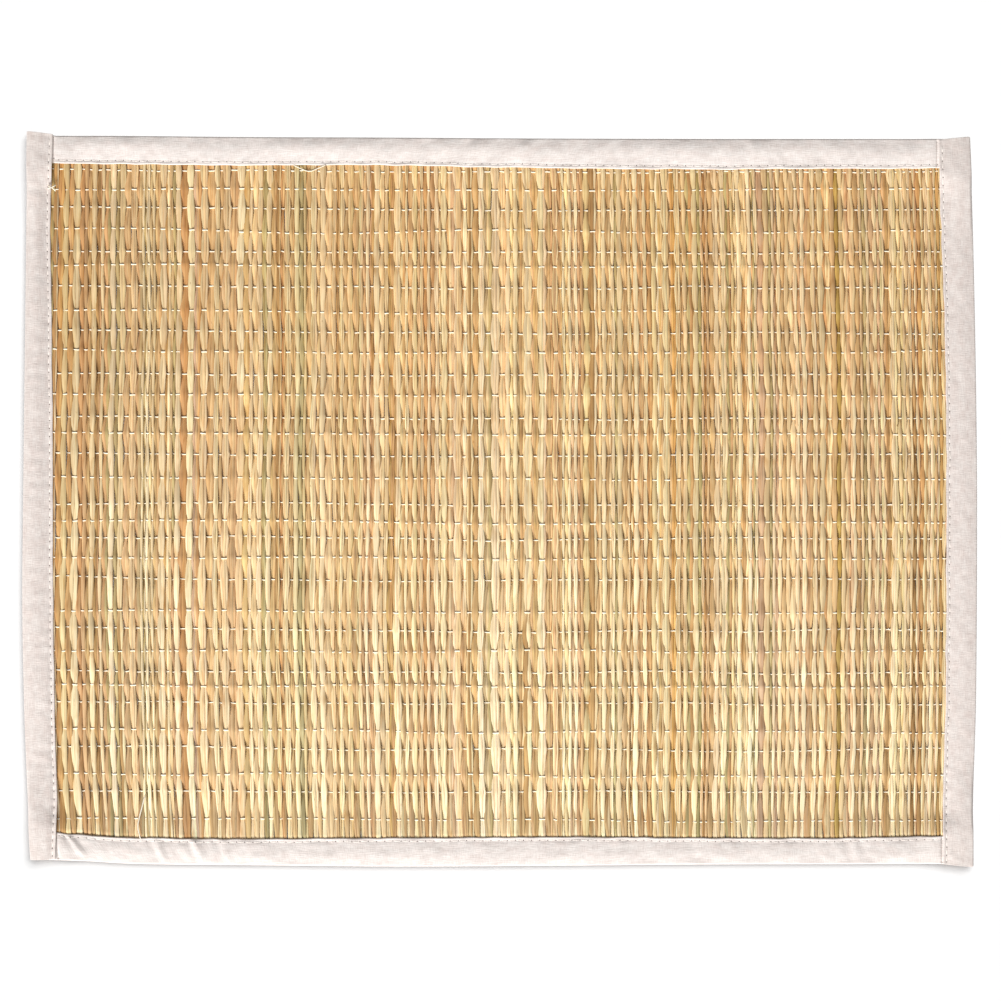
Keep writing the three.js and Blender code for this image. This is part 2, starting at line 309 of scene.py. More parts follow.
class Nodes:
    """Adds nodes to a material and links them."""

    def __init__(self, name):
        self.material = bpy.data.materials.new(name)
        self.material.use_nodes = True
        self.tree = self.material.node_tree
        self.shader = self.tree.nodes["Principled BSDF"]

    def add(self, kind, settings=None, **inputs):
        node = self.tree.nodes.new(kind)
        for key, value in (settings or {}).items():
            setattr(node, key, value)
        for key, value in inputs.items():
            self.feed(node, key.replace("_", " "), value)
        return node

    def feed(self, node, socket, value):
        if isinstance(value, bpy.types.NodeSocket):
            self.tree.links.new(value, node.inputs[socket])
        else:
            node.inputs[socket].default_value = value

    def attribute(self, name):
        return self.add("ShaderNodeAttribute", {"attribute_name": name})

    def noise(self, place, turns, detail=2.0, roughness=0.5):
        """Noise with about so many waves to a unit of each of the place's coordinates."""
        scaled = self.add("ShaderNodeMapping", Vector=place, Scale=turns).outputs["Vector"]
        settings = {"Scale": 1.0, "Detail": detail, "Roughness": roughness}
        return self.add("ShaderNodeTexNoise", Vector=scaled, **settings).outputs["Fac"]

    def ramp(self, value, low, high, low_value, high_value):
        ends = {"From_Min": low, "From_Max": high, "To_Min": low_value, "To_Max": high_value}
        node = self.add("ShaderNodeMapRange", {"clamp": True}, Value=value, **ends)
        return node.outputs["Result"]

    def math(self, operation, a, b):
        node = self.add("ShaderNodeMath", {"operation": operation})
        self.feed(node, 0, a)
        self.feed(node, 1, b)
        return node.outputs["Value"]

    def blend(self, kind, share, a, b):
        node = self.add("ShaderNodeMix", {"data_type": "RGBA", "blend_type": kind})
        for socket, value in ((0, share), (6, a), (7, b)):
            self.feed(node, socket, value)
        return node.outputs[2]

    def tinted(self, kind, noise, shares, colour, tint):
        """Blends in a tint: shares are a noise's low and high values, and the tint's at each."""
        return self.blend(kind, self.ramp(noise, *shares), colour, rgba(tint))

    def bump(self, height, strength, distance):
        node = self.add("ShaderNodeBump", Height=height, Strength=strength, Distance=distance)
        return node.outputs["Normal"]

    def finish(self, **values):
        """Sets or links the shader's sockets, such as Base_Color."""
        for key, value in values.items():
            self.feed(self.shader, key.replace("_", " "), value)


def rush_material():
    """Dry rush: fibres along each stalk, slow stains and a faint waxy sheen."""
    nodes = Nodes("dry rush")
    place = nodes.attribute("stalk_place").outputs["Vector"]
    colour = nodes.attribute("stalk_colour").outputs["Color"]
    fibres = nodes.noise(place, (2.6, 0.05, 1.0), 3.0, 0.65)
    ribs = nodes.noise(place, (1.1, 0.02, 1.0), 1.0)
    stains = nodes.noise(place, (0.35, 0.09, 1.0), 2.0)
    flecks = nodes.noise(place, (1.3, 0.28, 1.0), 1.0)
    colour = nodes.tinted("MULTIPLY", fibres, (0.38, 0.62, 0.55, 0.0), colour, (206, 176, 138))
    colour = nodes.tinted("SOFT_LIGHT", ribs, (0.45, 0.7, 0.0, 0.35), colour, (255, 250, 225))
    colour = nodes.tinted("MULTIPLY", stains, (0.55, 0.8, 0.0, 0.7), colour, (212, 184, 142))
    colour = nodes.tinted("MULTIPLY", flecks, (0.76, 0.84, 0.0, 0.8), colour, (150, 108, 66))
    height = nodes.math("ADD", fibres, nodes.math("MULTIPLY", ribs, 1.4))
    roughness = nodes.ramp(fibres, 0.3, 0.7, 0.85, 0.7)
    nodes.finish(Base_Color=colour, Roughness=roughness, Specular_IOR_Level=0.22)
    nodes.finish(Normal=nodes.bump(height, 0.5, 0.0003))
    return nodes.material


def tape_material(name, shaded, bright):
    """Unbleached cotton: a fine plain weave with thick and thin threads and a few seed specks."""
    nodes = Nodes(name)
    place = nodes.attribute("tape_place").outputs["Vector"]
    along = nodes.noise(place, (0.22, 2.4, 1.0), 2.0, 0.6)
    across = nodes.noise(place, (2.4, 0.3, 1.0), 2.0, 0.6)
    mottle = nodes.noise(place, (0.16, 0.3, 1.0), 3.0, 0.6)
    specks = nodes.noise(place, (0.9, 0.9, 1.0), 1.0)
    threads = nodes.math("ADD", along, across)
    colour = nodes.tinted("MIX", threads, (0.8, 1.2, 0.0, 1.0), rgba(shaded), bright)
    colour = nodes.tinted("MULTIPLY", mottle, (0.35, 0.7, 0.0, 0.6), colour, (240, 232, 230))
    colour = nodes.tinted("MULTIPLY", specks, (0.79, 0.83, 0.0, 0.6), colour, (176, 160, 152))
    nodes.finish(Base_Color=colour, Roughness=0.95, Specular_IOR_Level=0.15, Sheen_Weight=0.15)
    nodes.finish(Normal=nodes.bump(threads, 0.6, 0.0002))
    return nodes.material


def thread_material(name, shaded, bright):
    """Soft twisted cotton thread."""
    nodes = Nodes(name)
    place = nodes.add("ShaderNodeTexCoord").outputs["Object"]
    fluff = nodes.noise(place, (1500, 1500, 1500), 2.0)
    colour = nodes.tinted("MIX", fluff, (0.3, 0.7, 0.0, 1.0), rgba(shaded), bright)
    nodes.finish(Base_Color=colour, Roughness=0.9, Specular_IOR_Level=0.2)
    nodes.finish(Normal=nodes.bump(fluff, 0.4, 0.0001))
    return nodes.material


def hole_material():
    """Painted shade inside a needle hole."""
    nodes = Nodes("needle hole shade")
    place = nodes.add("ShaderNodeTexCoord").outputs["Object"]
    grain = nodes.noise(place, (900, 900, 900))
    shade = nodes.tinted("MIX", grain, (0.3, 0.7, 0.0, 1.0), rgba((96, 84, 80)), (134, 120, 112))
    nodes.finish(Base_Color=shade, Roughness=1.0)
    return nodes.material


def floor_material():
    """Matt grey paint, which the floor's own lamp lights to white."""
    nodes = Nodes("floor paint")
    nodes.finish(Base_Color=(0.55, 0.55, 0.55, 1), Roughness=0.9, Specular_IOR_Level=0.0)
    return nodes.material


# Meshes


class Skins:
    """Collects closed tubes and strips, which become one mesh."""

    def __init__(self):
        self.points, self.fields = [], []
        self.faces = []
        self.count = 0

    def add(self, rings, **fields):
        """Adds a closed skin from (rings, points around, 3), and fields that are shaped alike."""
        length, around = rings.shape[:2]
        index = np.arange(length * around).reshape(length, around) + self.count
        nearer = np.roll(index, -1, axis=1)
        sides = np.stack([index[:-1], nearer[:-1], nearer[1:], index[1:]], axis=-1)
        self.faces += [sides.reshape(-1, 4), index[0][::-1][None], index[-1][None]]
        self.points.append(rings.reshape(-1, 3))
        flat = {key: value.reshape(-1, value.shape[-1]) for key, value in fields.items()}
        self.fields.append(flat)
        self.count += length * around

    def build(self, name, material, colours=()):
        """Makes the object. Fields named in colours become colour attributes."""
        mesh = bpy.data.meshes.new(name)
        points = np.concatenate(self.points) * MM
        corners = np.concatenate([face.ravel() for face in self.faces])
        sizes = np.concatenate([np.full(len(face), face.shape[1]) for face in self.faces])
        mesh.vertices.add(len(points))
        mesh.vertices.foreach_set("co", points.ravel())
        mesh.loops.add(len(corners))
        mesh.loops.foreach_set("vertex_index", corners)
        mesh.polygons.add(len(sizes))
        mesh.polygons.foreach_set("loop_start", np.concatenate([[0], np.cumsum(sizes)[:-1]]))
        for key in self.fields[0]:
            values = np.concatenate([fields[key] for fields in self.fields])
            kind, slot = ("FLOAT_COLOR", "color") if key in colours else ("FLOAT_VECTOR", "vector")
            attribute = mesh.attributes.new(key, kind, "POINT")
            attribute.data.foreach_set(slot, values.ravel().astype(np.float32))
        mesh.update(calc_edges=True)
        mesh.validate()
        mesh.shade_smooth()
        mesh.materials.append(material)
        piece = bpy.data.objects.new(name, mesh)
        bpy.context.scene.collection.objects.link(piece)
        return piece


def tube(path, radius, around=6, taper=True):
    """Rings round a path of points, with small closed ends."""
    path = np.asarray(path, float)
    ways = np.gradient(path, axis=0)
    ways /= np.linalg.norm(ways, axis=1, keepdims=True)
    side = np.cross(ways, (0, 0, 1))
    side /= np.linalg.norm(side, axis=1, keepdims=True)
    up = np.cross(side, ways)
    angles = np.arange(around) * math.tau / around
    radii = np.broadcast_to(radius, len(path)).astype(float)
    if taper:
        radii[[0, -1]] *= 0.35
    spread = side[:, None] * np.cos(angles)[:, None] + up[:, None] * np.sin(angles)[:, None]
    return path[:, None] + spread * radii[:, None, None]


# The weave


def bundle_shares():
    """Each bundle's place across the weave as a share of its width: the solid's own spacing."""
    modulus, multiplier = 2147483647, 48271
    state, reached = BUNDLES["seed"], [0.0]
    for _ in range(BUNDLES["count"] - 1):
        state = state * multiplier % modulus
        extra = BUNDLES["spread"] * (state / modulus) ** 2
        reached.append(reached[-1] + BUNDLES["narrowest"] + extra)
    return np.array(reached) / reached[-1]


def across_weave(share, y):
    left = line_at(LEFT_LINES, "outer", y) + PANEL["inset"]
    right = line_at(RIGHT_LINES, "outer", y) - PANEL["inset"]
    return mix(left, right, share)


BUNDLE_SHARES = bundle_shares()
BUNDLE_MIDDLES = across_weave(BUNDLE_SHARES, 0.0)
wander = soft_noise(SEEDS["wander"], 40, 160)


def bundle_line(bundle, y):
    """Where a bundle lies across the mat, at places along it."""
    straight = across_weave(BUNDLE_SHARES[bundle], y)
    return straight + BUNDLES["wander"] * wander(BUNDLE_MIDDLES[bundle], y)


def bundle_room(bundle):
    """How far a bundle's middle is from the next ones on its left and on its right."""
    left = BUNDLE_MIDDLES[bundle] - BUNDLE_MIDDLES[max(bundle - 1, 0)]
    right = BUNDLE_MIDDLES[min(bundle + 1, BUNDLES["count"] - 1)] - BUNDLE_MIDDLES[bundle]
    return left or right, right or left


THREAD_RADIUS = 0.33
# How much higher the warp threads lie at the mat's sides than where they are lowest.
THREAD_BOW = {"lowest": 20, "left": 1.2, "right": 0.3}
THREAD_SWAY = 0.4  # how far a thread bends off its even line
THREAD_SWAYS = [
    soft_noise(SEEDS["sways"] + thread, 70, 240, count=4) for thread in range(len(THREAD_Y))
]


def thread_line(thread, x):
    """Where a warp thread crosses a place across the mat."""
    left = np.clip((THREAD_BOW["lowest"] - x) / 220, 0, 1) ** 1.2
    right = np.clip((x - THREAD_BOW["lowest"]) / 200, 0, 1)
    rise = THREAD_BOW["left"] * left + THREAD_BOW["right"] * right
    return THREAD_Y[thread] + rise + THREAD_SWAY * THREAD_SWAYS[thread](x, 0)


def is_up(bundle, thread):
    """Whether a bundle lies over a warp thread, so that the thread is hidden from above."""
    return (bundle + thread) % 2 == 0


# A bundle's half widths over a thread, under one and inside a tape, as shares of the room that it
# has on that side.
SPREAD = {"over": 0.62, "under": 0.46, "taped": 0.49}
# How high a bundle lies where a thread holds it down, from 0 to 1, for the two families at the
# far end and at the near end: the paler family is held less deeply.
HELD_RISE = np.array([(0.6, 0.55), (0.22, 0.0)])
# The sections between two threads: how far along, and how much of the rise is done by then.
SECTIONS = np.array([(0, 0), (0.14, 0.07), (0.86, 0.93)])
# A stalk's section: the shares of its half width and half height of the points around it.
SECTION_X = np.array([1, 0.86, 0.45, -0.45, -0.86, -1, -0.6, 0.6])
SECTION_Z = np.array([0, 0.66, 1, 1, 0.66, 0, -0.9, -0.9])
STALK_HEIGHTS = np.array([0.46, 0.38])  # for the two families, of the weave's thickness
LIP = {"lift": 0.6, "reach": 7}  # where the stalks stand up against the near tape
TAPED_RISE = 0.75  # where the stalks lie inside a tape, from the weave's underside to its top


def nearness(y):
    """From 0 at the mat's far end to 1 at its near end."""
    return ease((HALF_LENGTH - y) / (2 * HALF_LENGTH))


def held_rise(bundle, y):
    far, near = HELD_RISE[bundle % 2].T
    return mix(far, near, nearness(y))


def lip_lift(x, y):
    """How far the stalks stand up against the near tape's sewn edge."""
    depth = y - line_at(BOTTOM_LINES, "inner", x)
    return np.where(depth > 0.2, LIP["lift"] * (1 - ease((depth - 0.5) / LIP["reach"])), 0)


def bundle_sections(bundle, x):
    """A bundle's sections from its near end: places along it, rise (0 to 1) and spread."""
    low_end = line_at(BOTTOM_LINES, "outer", x) + PANEL["inset"]
    low_lip = line_at(BOTTOM_LINES, "inner", x)
    high_lip = line_at(TOP_LINES, "inner", x)
    high_end = line_at(TOP_LINES, "outer", x) - PANEL["inset"]
    threads = np.array([thread_line(i, x) for i in range(len(THREAD_Y))])[::-1]
    over = is_up(bundle, np.arange(len(threads)))[::-1]
    rise = np.where(over, 1.0, held_rise(bundle, threads))
    spread = np.where(over, SPREAD["over"], SPREAD["under"])
    taped = SPREAD["taped"]
    low = [(low_end, TAPED_RISE, taped), (low_lip - 0.8, TAPED_RISE, taped)]
    for depth in (0.5, 2.0):
        low.append((low_lip + depth, mix(TAPED_RISE, rise[0], 0.15 * depth), taped))
    columns = ((threads, SECTIONS[:, 0]), (rise, SECTIONS[:, 1]), (spread, SECTIONS[:, 0]))
    between = [mix(values[:-1, None], values[1:, None], shares) for values, shares in columns]
    high = [
        (threads[-1], rise[-1], spread[-1]),
        (high_lip - 0.3, mix(rise[-1], TAPED_RISE, 0.5), mix(spread[-1], taped, 0.5)),
        (high_lip + 2.5, TAPED_RISE, taped),
        (high_end, TAPED_RISE, taped),
    ]
    return np.concatenate([low, np.stack(between, axis=-1).reshape(-1, 3), high]).T


# How many stalks a bundle holds: for at least this much room, its chances of two and of three.
STALK_CHANCES = ((2.8, 1.0, 0.6), (1.9, 0.65, 0.15), (0.0, 0.4, 0.0))
# An odd stalk with a shorter reach is a thin one: a bundle this near to it holds three stalks.
THIN = {"reach": 0.7, "near": 1.1}
ODD_FADE = 14  # how far an odd stalk's colour takes to end


def stalks_in(random, x, room):
    """How many stalks a bundle holds."""
    chance = random.random()
    thin = [place for place, reach, *_ in ODD_STALKS if reach < THIN["reach"]]
    if any(abs(place - x) < THIN["near"] for place in thin):
        return 3
    two, three = next(chances for least, *chances in STALK_CHANCES if room > least)
    return 1 + (chance < two) + (chance < three)


def family_colour(random, bundle):
    """The name of a colour of the bundle's family."""
    family = FAMILY_COLOURS[bundle % 2]
    weights = np.array(list(family.values()), float)
    return random.choice(list(family), p=weights / weights.sum())


def stalk_tints(random, name, x, y):
    """A stalk's colour at places along it: one that stands out there, or the one named."""
    lightness, hue = TINT_SPREAD
    tints = np.tile(np.array(STALK_COLOURS[name], float), (len(y), 1))
    tints += random.normal(0, lightness) + random.normal(0, hue, 3)
    for place, reach, low, high, odd_name in ODD_STALKS:
        if abs(place - x) < reach:
            share = ease((y - low) / ODD_FADE + 0.5) * ease((high - y) / ODD_FADE + 0.5)
            tints = mix(tints, np.array(STALK_COLOURS[odd_name], float), share[:, None])
    return tints


def tint_and_painted_light_along(bundle, x, y):
    """The stalks' tint, from tan at the far end to paler and more unlike at the near end: partly
    their own, partly painted light and shade that grow towards the near lamp.
    """
    near = nearness(y)[:, None]
    far_left = LIGHTNESS["far_left"] * ease(-x / HALF_WIDTH) * (1 - near)
    # Darker towards the sides: painted light that falls off there.
    paler = LIGHTNESS["middle"] + LIGHTNESS["sides"] * (x / HALF_WIDTH) ** 2 + far_left
    # Painted light and shade: the two families grow more unlike towards the near lamp.
    painted_contrast = (-1) ** bundle * mix(*PAINTED_CONTRAST_ALONG, near**2)
    return paler * (1 + painted_contrast) * mix(*np.array(TINTS_AND_PAINTED_LIGHT_ALONG), near)


# How uneven a bundle is along it, and the ranges of its spread and height and a stalk's width.
ALONG_BUNDLE = 0.045
SPREAD_RANGE, HEIGHT_RANGE, WIDTH_RANGE = (0.97, 1.03), (0.95, 1.03), (0.92, 1.08)


class Bundle:
    """A bundle of stalks: its centre line, half widths, height and so on at its sections."""

    def __init__(self, random, number):
        self.number, self.middle = number, BUNDLE_MIDDLES[number]
        left_room, right_room = bundle_room(number)
        self.y, self.rise, spread = bundle_sections(number, self.middle)
        uneven = 1 + ALONG_BUNDLE * random.standard_normal(len(self.y))
        self.spread = spread * uneven * random.uniform(*SPREAD_RANGE)
        x = bundle_line(number, self.y)
        low_x, high_x = x - left_room * self.spread, x + right_room * self.spread
        self.centre, self.half = (low_x + high_x) / 2, (high_x - low_x) / 2
        thick = weave_thickness(x, self.y)
        self.height = STALK_HEIGHTS[number % 2] * thick * random.uniform(*HEIGHT_RANGE)
        lift = mix(self.height / 2, thick - self.height / 2, self.rise)
        self.z = weave_base(x, self.y) + lip_lift(x, self.y) + lift
        self.count = stalks_in(random, self.middle, (left_room + right_room) / 2)
        self.colour = family_colour(random, number)


# The stalks of one bundle: how much they overlap, drift to their sides, lie over each other and
# tilt, how flat they are beside a single one, and how often one has a colour of its own.
LANES = {"overlap": 1.2, "drift": 0.1, "stack": 0.12, "tilt": 0.12, "flat": 0.9, "stranger": 0.3}
FADING = 0.04  # how much a stalk's lightness changes along it
# Up to how far apart the stalks and their undersides lie in their material's texture.
TEXTURE_STEPS = {"stalk": 40.0, "underside": 17.0}


def along_stalk(random, shortest, longest, y):
    """A stalk's own smooth change at places along it."""
    return soft_noise(random.integers(1 << 30), shortest, longest)(y, 0)


def stalk_line(random, bundle, lane):
    """A stalk's centre line across and up, its half widths and its heights."""
    if bundle.count == 1:
        half = bundle.half * random.uniform(*WIDTH_RANGE)
        return bundle.centre, bundle.z, half, bundle.height
    offset = 2 * lane / (bundle.count - 1) - 1
    squeeze = bundle.spread / SPREAD["over"]
    half = bundle.half / squeeze / bundle.count * LANES["overlap"] * squeeze**0.4
    half = half * random.uniform(*WIDTH_RANGE)
    drift = LANES["drift"] * along_stalk(random, 18, 70, bundle.y)
    x = bundle.centre + offset * (bundle.half - half) + drift
    side = (-1) ** (lane + bundle.number // 2)
    stacked = side * LANES["stack"] * bundle.height * (1 - bundle.rise)
    lower = LANES["stack"] * abs(offset) * bundle.height * bundle.rise
    return x, bundle.z + stacked - lower, half, LANES["flat"] * bundle.height


def add_stalk(skins, random, bundle, lane):
    stranger = random.random() < LANES["stranger"]
    name = family_colour(random, bundle.number) if stranger else bundle.colour
    x, z, half, height = stalk_line(random, bundle, lane)
    tilt = LANES["tilt"] * along_stalk(random, 14, 60, bundle.y)
    section_x = SECTION_X * half[:, None]
    section_z = SECTION_Z * height[:, None] / 2 + section_x * tilt[:, None]
    y = np.broadcast_to(bundle.y[:, None], section_x.shape)
    rings = np.stack([x[:, None] + section_x, y, z[:, None] + section_z], axis=-1)
    tints = stalk_tints(random, name, x.mean(), bundle.y)
    tints = tints * tint_and_painted_light_along(bundle.number, bundle.middle, bundle.y)
    tints = tints * (1 + FADING * along_stalk(random, 20, 120, bundle.y)[:, None])
    colour = np.ones((*section_x.shape, 4))
    colour[..., :3] = linear(np.clip(tints, 0, BRIGHTEST))[:, None]
    underside = np.where(SECTION_Z < 0, TEXTURE_STEPS["underside"], 0.0)
    own = np.full(section_x.shape, TEXTURE_STEPS["stalk"] * random.random())
    place = np.stack([section_x + underside, y, own], axis=-1)
    skins.add(rings, stalk_place=place, stalk_colour=colour)


RUSH_PIECES = 5


def make_rush(material):
    """The stalks, in a few pieces from left to right."""
    random = np.random.default_rng(SEEDS["rush"])
    groups = np.array_split(np.arange(BUNDLES["count"]), RUSH_PIECES)
    pieces = []
    for piece_number, group in enumerate(groups, 1):
        skins = Skins()
        for number in group:
            bundle = Bundle(random, int(number))
            for lane in range(bundle.count):
                add_stalk(skins, random, bundle, lane)
        name = f"rush_stalks_{piece_number}"
        pieces.append(skins.build(name, material, colours=("stalk_colour",)))
    return pieces


# How far a thread rises over the stalks of each family, as a share of its radius.
THREAD_RISES = np.array([-0.1, 0.15])
# How uneven a thread is: that rise and its radius as shares, and its sway and tilt to the sides.
THREAD_UNEVEN = {"rise": 0.2, "radius": 0.1, "sway": 0.1, "tilt": 0.12}


def thread_path(random, thread):
    """A warp thread's way over and under the bundles: two points for each of them."""
    bundles = np.arange(BUNDLES["count"])
    y = thread_line(thread, BUNDLE_MIDDLES)
    x = bundle_line(bundles, y)
    room = np.gradient(x)
    thick = weave_thickness(x, y)
    height = STALK_HEIGHTS[bundles % 2]
    rise = THREAD_RISES[bundles % 2] + THREAD_UNEVEN["rise"] * random.standard_normal(len(x))
    above = thick * mix(height, 1, held_rise(bundles, y)) + THREAD_RADIUS * rise
    below = thick * (1 - height) - THREAD_RADIUS * 0.8
    z = weave_base(x, y) + lip_lift(x, y) + np.where(is_up(bundles, thread), below, above)
    sway = THREAD_UNEVEN["sway"] * random.standard_normal(len(x))
    tilt = THREAD_UNEVEN["tilt"] * random.standard_normal(len(x))
    points = [
        np.stack([x + share * room, y + sway + share * 2 * tilt, z], axis=-1)
        for share in (-0.25, 0.25)
    ]
    return np.stack(points, axis=1).reshape(-1, 3)


def make_threads(material):
    """The warp threads, in two pieces: those of the far half and those of the near half."""
    random = np.random.default_rng(SEEDS["threads"])
    halves = np.array_split(np.arange(len(THREAD_Y)), 2)
    pieces = []
    for name, threads in zip(("far", "near"), halves):
        skins = Skins()
        for thread in threads:
            path = thread_path(random, thread)
            uneven = 1 + THREAD_UNEVEN["radius"] * random.standard_normal(len(path))
            skins.add(tube(path, THREAD_RADIUS * uneven, around=5, taper=False))
        pieces.append(skins.build(f"warp_threads_{name}", material))
    return pieces


# The tapes


class Tape:
    """A folded tape. `s` runs along it, and `u` in from its outer line."""

    def __init__(self, name, lines, upright, inward, seed, puckers=NO_PUCKERS, ends=None):
        self.name, self.lines, self.upright, self.inward = name, lines, upright, inward
        self.puckers, self.ends = puckers, ends
        self.mirrored = upright == (inward > 0)  # its rings then run the other way round
        self.slow = soft_noise(seed, 14, 60)
        self.fine = soft_noise(seed + 1, 3.5, 9, count=14)
        self.edge = soft_noise(seed + 2, 9, 40)
        if upright:
            self.low, self.high = ends["low"][0], ends["high"][0]
        else:
            middle = lines["outer"].mean()
            self.low = line_at(LEFT_LINES, "outer", middle) + PANEL["inset"]
            self.high = line_at(RIGHT_LINES, "outer", middle) - PANEL["inset"]

    def outer(self, s):
        return line_at(self.lines, "outer", s)

    def width(self, s):
        wobble = 0.1 * self.edge(s, 0)
        return np.abs(line_at(self.lines, "inner", s) - self.outer(s)) + wobble

    def base(self, s):
        """Height of the lower leg's underside."""
        if self.upright:
            return np.zeros_like(s)
        return LAYER * held_by_side_tapes(s, self.outer(s))

    def ceiling(self, s):
        """Height of the upper leg's underside."""
        layers = 1 + 2 * held_by_long_tapes(self.outer(s), s) if self.upright else 1
        return self.base(s) + LAYER * layers + PANEL["squeezed"] + GAP

    def top(self, s, u):
        """Height of the upper leg's upper face."""
        return self.ceiling(s) + TAPE["thickness"] + self.relief(s, u)

    def relief(self, s, u):
        """How much the upper leg stands up or dips, with its seam and unevenness."""
        share = u / self.width(s)
        shoulder = ease(u / TAPE["shoulder"])
        crown = CROWNS[self.name] * shoulder * (1 - ease((share - 0.38) / 0.5))
        free = np.clip(share / 0.25, 0, 1) * np.clip((1 - share) / 0.1, 0.25, 1)
        raised = free * (self.uneven(s, u) + self.pucker(s)) + crown
        raised = raised * self.free_of_side_tapes(s) + self.bridge(s) * (1 - 0.7 * ease(share))
        drop = TAPE["shoulder_drop"] * (1 - shoulder) + self.lip_drop(s) * ease((share - 0.4) / 0.5)
        return raised - drop - self.seam_dip(s, u) - self.groove(s)

    def uneven(self, s, u):
        slow = UNEVEN["side" if self.upright else "long"]
        return slow * self.slow(s, u) + UNEVEN["fine"] * self.fine(s, u)

    def pucker(self, s):
        gaps = (np.asarray(s)[..., None] - self.puckers["at"]) / (0.55 * self.puckers["reach"])
        ridge = np.exp(-(gaps**2)) - 0.45 * np.exp(-((gaps + 1.8) ** 2))
        return (self.puckers["rise"] * ridge).sum(-1)

    def seam_dip(self, s, u):
        """How far the seam pulls the cotton down, in a slight beat with the stitches."""
        deepest = line_at(self.lines, "dip", s)
        gap = (u - (self.width(s) - TAPE["seam"])) / (0.5 + 1.5 * deepest)
        beat = 0.8 + 0.2 * np.cos(math.tau * s / STITCH["length"])
        return deepest * beat * np.exp(-(gap**2))

    def lip_drop(self, s):
        """How much lower the sewn edge lies than the flat solid's: less where it crosses a tape."""
        crossing = held_by_long_tapes(self.outer(s), s) if self.upright else 0
        return line_at(self.lines, "drop", s) * (1 - 0.6 * crossing)

    def bridge(self, s):
        """How a side tape spans the step beside a long tape more gently than the flat solid."""
        if not self.upright:
            return 0
        x = self.outer(s)
        bottom, top = line_at(BOTTOM_LINES, "inner", x), line_at(TOP_LINES, "inner", x)
        depth = np.minimum(top - s, s - bottom)
        return 2 * LAYER * (held(depth, BRIDGE) - held(depth))

    def free_of_side_tapes(self, s):
        return 1 if self.upright else 1 - held_by_side_tapes(s, self.outer(s))

    def creases(self):
        """Where the side tapes' sewn edges press this tape down."""
        y = self.lines["outer"].mean()
        left, right = line_at(LEFT_LINES, "inner", y), line_at(RIGHT_LINES, "inner", y)
        return left + CREASE["beside"], right - CREASE["beside"]

    def groove(self, s):
        """How deep the creases are at places along the tape."""
        if self.upright:
            return 0
        near = np.min([np.abs(s - crease) for crease in self.creases()], axis=0)
        return CREASE["depth"] * np.exp(-((near / CREASE["width"]) ** 2))

    def place(self, s, u, z):
        """A point of the tape on the mat. A side tape's ends are slanted and rounded."""
        s, u, z = np.broadcast_arrays(s, u, z)
        outer = self.outer(s)
        share = u / self.width(s)
        if not self.upright:
            slant = line_at(self.lines, "lean", s) * (share - 0.5)
            return np.stack([s + self.inward * slant, outer + self.inward * u, z], axis=-1)
        y = s.copy()
        rounded = TAPE["corner"] * np.clip(1 - u / TAPE["bend"], 0, 1)
        ends = ((self.low, 1, self.ends["low"]), (self.high, -1, self.ends["high"]))
        for at, side, (at_outer, at_inner) in ends:
            fade = np.clip(1 - np.abs(s - at) / 4, 0, 1)
            y = y + fade * ((at_inner - at_outer) * share + side * rounded)
        return np.stack([outer + self.inward * u, y, z], axis=-1)


# Shares of the width at the points across a tape's legs, closest where they are stitched.
UPPER_SHARES = np.array(
    [0.06, 0.12, 0.19, 0.28, 0.38, 0.48, 0.58, 0.67, 0.75, 0.81, 0.85, 0.88, 0.91, 0.94, 0.97]
)
LOWER_SHARES = np.array([1.0, 0.94, 0.9, 0.86, 0.6, 0.35, 0.15])
FOLD_ANGLES = np.radians([-78, -55, -28, 0, 28, 55, 78])


# The parts of a tape's section give how far in their points lie and how high, in order round it.


def lower_face(width, base):
    u = LOWER_SHARES * width
    seam_groove = 0.3 * np.exp(-((u - (width - TAPE["seam"])) ** 2) / 0.4)
    return u, base + seam_groove


def fold(base, ceiling):
    top = ceiling + TAPE["thickness"] - TAPE["shoulder_drop"]
    middle, half = (base + top) / 2, (top - base) / 2
    return TAPE["bend"] * (1 - np.cos(FOLD_ANGLES) ** 0.4), middle + half * np.sin(FOLD_ANGLES)


def upper_lip(width, lip_top, lip_base):
    rise = np.array([0.86, 0.5, 0.1])
    return width + np.array([-0.08, 0.06, 0.02]), mix(lip_base, lip_top, rise)


def inside(width, base, ceiling, lip_base):
    depths = (0.93 * width, np.array([TAPE["hollow"]]), np.array([TAPE["thickness"]]))
    floor, round_in = base + TAPE["thickness"], TAPE["hollow_round"]
    heights = [lip_base, ceiling, ceiling - round_in, floor + round_in, floor, floor]
    return side_by_side((*depths, *depths[::-1]), len(width)), np.concatenate(heights, axis=1)


def lower_lip(width, base):
    rise = np.array([0.85, 0.35])
    return width + np.array([0.04, 0.02]), base + TAPE["thickness"] * rise


def side_by_side(parts, count):
    """Joins parts of sections into whole ones. A part that has one row has it at every section."""
    rows = [np.broadcast_to(part, (count, part.shape[-1])) for part in parts]
    return np.concatenate(rows, axis=1)


def tape_sections(tape, s):
    """The points around a tape at places along it: how far in, how high and where they are."""
    s = s[:, None]
    width, base, ceiling = tape.width(s), tape.base(s), tape.ceiling(s)
    lip_top, lip_base = tape.top(s, UPPER_SHARES[-1] * width), ceiling - 0.85 * tape.lip_drop(s)
    upper_u = UPPER_SHARES * width
    parts = (
        lower_face(width, base),
        fold(base, ceiling),
        (upper_u, tape.top(s, upper_u)),
        upper_lip(width, lip_top, lip_base),
        inside(width, base, ceiling, lip_base),
        lower_lip(width, base),
    )
    u, z = (side_by_side(halves, len(s)) for halves in zip(*parts))
    return u, z, tape.place(s, u, z)


